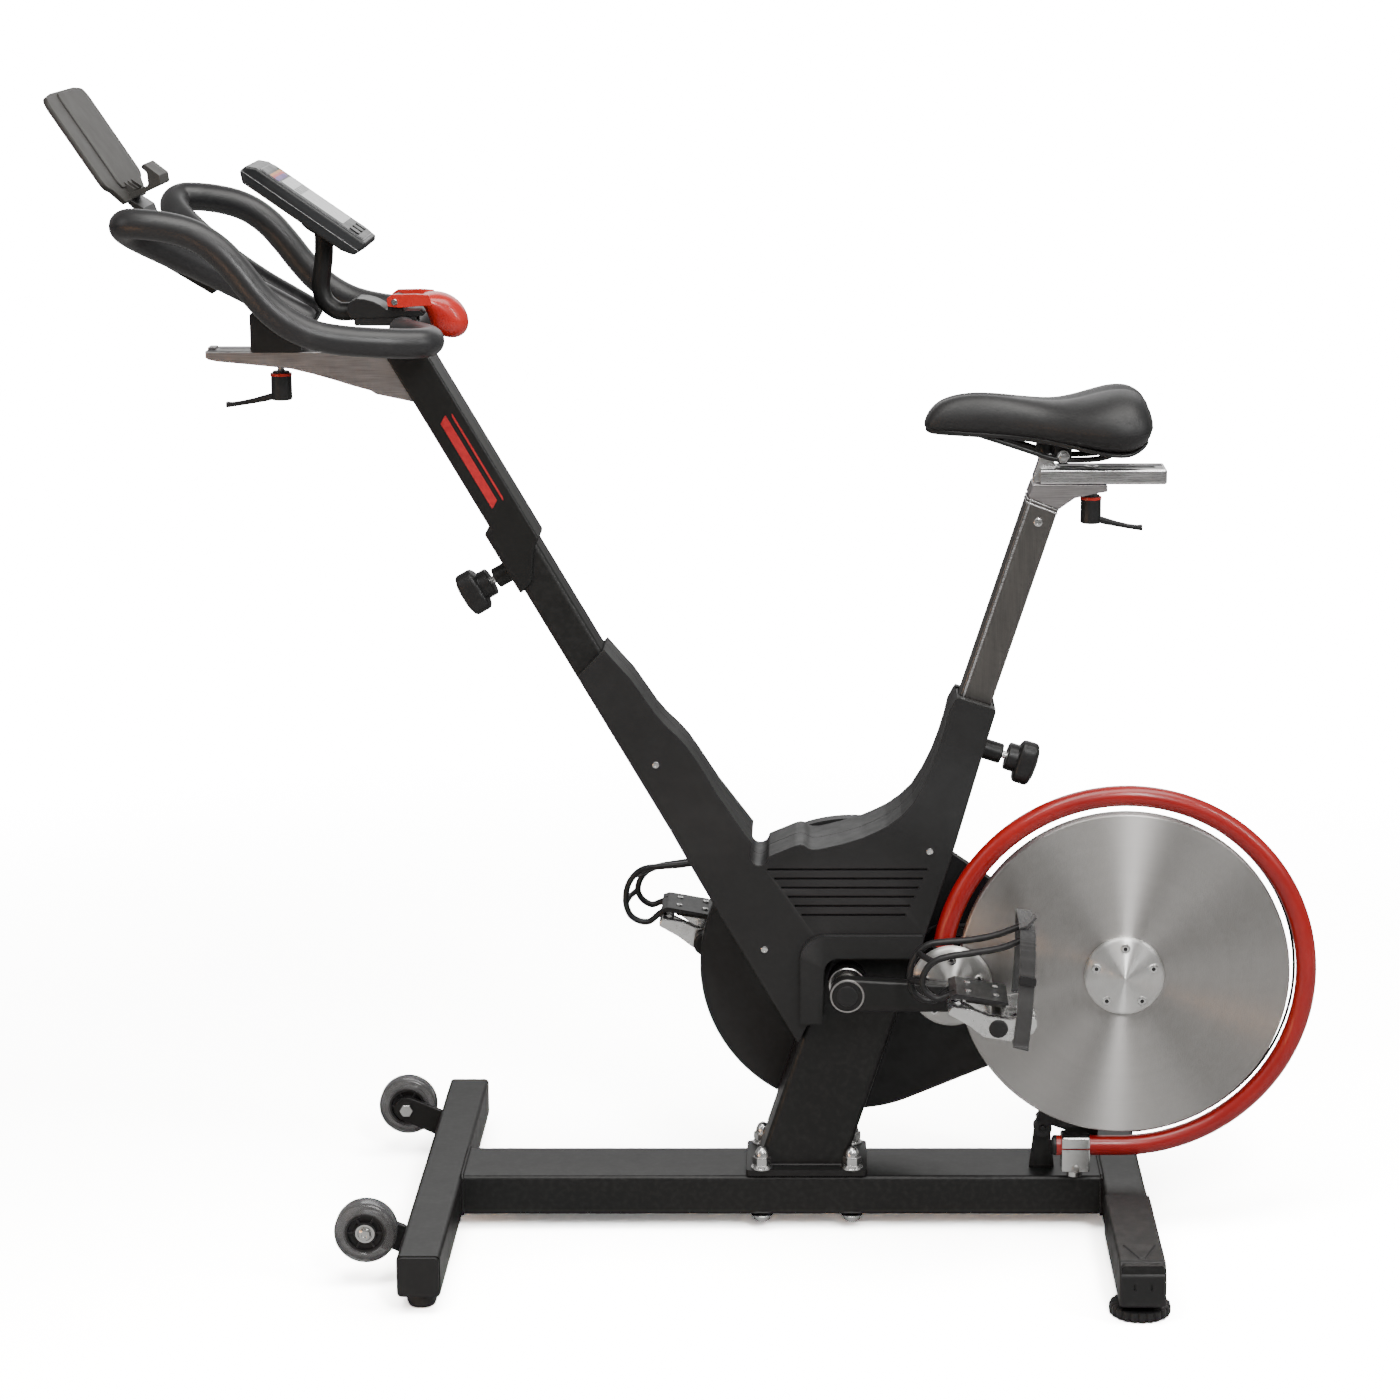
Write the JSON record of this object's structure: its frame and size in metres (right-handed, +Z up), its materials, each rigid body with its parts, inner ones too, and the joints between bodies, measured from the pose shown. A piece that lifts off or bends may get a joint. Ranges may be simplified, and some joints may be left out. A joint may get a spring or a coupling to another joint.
{
  "type": "indoor spin bike",
  "caption": "Indoor cycling trainer: sloping post frame, belt-driven flywheel in a red tube guard, sliding saddle and bullhorn handlebar with console and tablet tray.",
  "frame": {"origin": "floor level under the centre of the bounding box, on the mid-plane of the frame", "axes": "+X towards the saddle and flywheel end, +Y to the right-hand side of a rider, who faces -X, +Z up"},
  "size_m": [1.4305, 0.658, 1.3374],
  "materials": {
    "black_paint": "satin",
    "moulded_black": "fine grain",
    "gloss_black": "gloss",
    "black_rubber": "matt",
    "tyre": "smooth",
    "saddle_skin": "fine grain",
    "strap_webbing": "woven",
    "dark_grey": "satin",
    "signal_red": "gloss",
    "steel": "machined",
    "aluminium": "brushed",
    "chrome": "polished"
  },
  "bodies": {
    "frame": {"base_beam": "black_paint", "front_crossbar": "black_paint", "rear_crossbar": "black_paint", "rear_end_cover_left": "moulded_black", "rear_end_cover_right": "moulded_black", "wheel_bracket_left": "black_paint", "wheel_bracket_right": "black_paint", "front_foot_left": "black_rubber", "front_foot_right": "black_rubber", "lower_post": "black_paint", "mast_tube": "black_paint", "seat_tube": "black_paint", "crank_bearing_shell": "black_paint", "rear_stay": "black_paint", "frame_cover_left": "moulded_black", "frame_cover_right": "moulded_black", "belt_guard": "moulded_black", "guard_tube": "signal_red", "guard_clamp": "chrome", "first_belt": "black_rubber", "second_belt": "black_rubber", "magnet_bracket": "black_paint"},
    "levelling_foot_left": {"levelling_foot_left": "black_rubber"},
    "levelling_foot_right": {"levelling_foot_right": "black_rubber"},
    "transport_wheel_left": {"transport_wheel_left": "tyre"},
    "transport_wheel_right": {"transport_wheel_right": "tyre"},
    "crank": {"crank_axle": "steel", "crank_arm_left": "black_paint", "crank_arm_right": "black_paint", "crank_pulley": "aluminium"},
    "idler": {"idler_shaft": "steel", "idler_pulley": "aluminium", "idler_hub_cap": "aluminium"},
    "flywheel": {"flywheel_axle": "steel", "flywheel_disc": "aluminium", "flywheel_hub_cap": "aluminium"},
    "pedal_left": {"pedal_left": "chrome", "toe_cage_left": "black_rubber", "toe_strap_left": "strap_webbing"},
    "pedal_right": {"pedal_right": "chrome", "toe_cage_right": "black_rubber", "toe_strap_right": "strap_webbing"},
    "magnet_carriage": {"magnet_carriage": "moulded_black"},
    "handlebar_stem": {"handlebar_sleeve": "black_paint", "handlebar_bracket": "aluminium"},
    "handlebar": {"handlebar": "black_rubber", "handlebar_slider": "black_paint", "console": "gloss_black", "shifter_base": "black_paint", "tablet_tray": "dark_grey"},
    "resistance_lever": {"resistance_lever": "signal_red"},
    "handlebar_clamp_lever": {"handlebar_clamp_lever": "black_paint"},
    "handlebar_knob": {"handlebar_knob": "black_paint"},
    "seat_post": {"seat_post": "dark_grey", "seat_head": "aluminium"},
    "seat_rail": {"seat_rail": "aluminium", "saddle_clamp": "black_paint"},
    "saddle": {"saddle": "saddle_skin"},
    "seat_clamp_lever": {"seat_clamp_lever": "black_paint"},
    "seat_knob": {"seat_knob": "black_paint"}
  },
  "joints": [
    {"name": "levelling_foot_left_turn", "type": "hinge", "parent": "frame", "child": "levelling_foot_left", "pos_m": [0.493, -0.293, 0], "axis": [0, 0, 1], "range_deg": [-180, 180]},
    {"name": "transport_wheel_left_spin", "type": "hinge", "parent": "frame", "child": "transport_wheel_left", "pos_m": [-0.384, -0.212, 0.066], "axis": [0, 1, 0], "continuous": true},
    {"name": "pedal_left_spin", "type": "hinge", "parent": "crank", "child": "pedal_left", "pos_m": [0.33542, -0.155, 0.30446], "axis": [0, 1, 0], "continuous": true},
    {"name": "levelling_foot_right_turn", "type": "hinge", "parent": "frame", "child": "levelling_foot_right", "pos_m": [0.493, 0.293, 0], "axis": [0, 0, 1], "range_deg": [-180, 180]},
    {"name": "transport_wheel_right_spin", "type": "hinge", "parent": "frame", "child": "transport_wheel_right", "pos_m": [-0.384, 0.212, 0.066], "axis": [0, 1, 0], "continuous": true},
    {"name": "pedal_right_spin", "type": "hinge", "parent": "crank", "child": "pedal_right", "pos_m": [-0.00443, 0.155, 0.31454], "axis": [0, 1, 0], "continuous": true},
    {"name": "flywheel_spin", "type": "hinge", "parent": "frame", "child": "flywheel", "pos_m": [0.489, 0, 0.322], "axis": [0, 1, 0], "continuous": true},
    {"name": "idler_spin", "type": "hinge", "parent": "frame", "child": "idler", "pos_m": [0.287, 0, 0.311], "axis": [0, 1, 0], "continuous": true},
    {"name": "crank_spin", "type": "hinge", "parent": "frame", "child": "crank", "pos_m": [0.1655, 0, 0.3095], "axis": [0, 1, 0], "continuous": true},
    {"name": "resistance_lever_swing", "type": "hinge", "parent": "handlebar", "child": "resistance_lever", "pos_m": [-0.345, 0, 1.104], "axis": [0, -1, 0], "range_deg": [0, 55]},
    {"name": "magnet_swing", "type": "hinge", "parent": "frame", "child": "magnet_carriage", "pos_m": [0.3985, -0.0275, 0.1235], "axis": [0, -1, 0], "range_deg": [0, 8]},
    {"name": "handlebar_height", "type": "slide", "parent": "frame", "child": "handlebar_stem", "axis": [-0.5, 0, 0.866], "range_m": [-0.095, 0.02]},
    {"name": "handlebar_reach", "type": "slide", "parent": "handlebar_stem", "child": "handlebar", "axis": [1, 0, 0], "range_m": [-0.06, 0.01]},
    {"name": "handlebar_clamp_turn", "type": "hinge", "parent": "handlebar", "child": "handlebar_clamp_lever", "pos_m": [-0.4795, 0, 1.008], "axis": [0, 0, 1], "range_deg": [-90, 90]},
    {"name": "handlebar_knob_pull", "type": "slide", "parent": "handlebar_stem", "child": "handlebar_knob", "axis": [-0.866, 0, -0.5], "range_m": [0, 0.012], "stiffness_N_per_m": 2500},
    {"name": "seat_height", "type": "slide", "parent": "frame", "child": "seat_post", "axis": [0.309, 0, 0.9511], "range_m": [-0.14, 0.06]},
    {"name": "seat_reach", "type": "slide", "parent": "seat_post", "child": "seat_rail", "axis": [1, 0, 0], "range_m": [-0.06, 0.03]},
    {"name": "saddle_tilt", "type": "hinge", "parent": "seat_rail", "child": "saddle", "pos_m": [0.411, 0, 0.9275], "axis": [0, 1, 0], "range_deg": [-5, 5]},
    {"name": "seat_clamp_turn", "type": "hinge", "parent": "seat_post", "child": "seat_clamp_lever", "pos_m": [0.445, 0, 0.86], "axis": [0, 0, 1], "range_deg": [-80, 80]},
    {"name": "seat_knob_pull", "type": "slide", "parent": "frame", "child": "seat_knob", "axis": [0.9511, 0, -0.309], "range_m": [0, 0.012], "stiffness_N_per_m": 2500}
  ],
  "couplings": [
    {"joint": "idler_spin", "follows": "flywheel_spin", "ratio": 0.54217},
    {"joint": "crank_spin", "follows": "flywheel_spin", "ratio": 0.12048},
    {"joint": "magnet_swing", "follows": "resistance_lever_swing", "ratio": 0.14546}
  ]
}
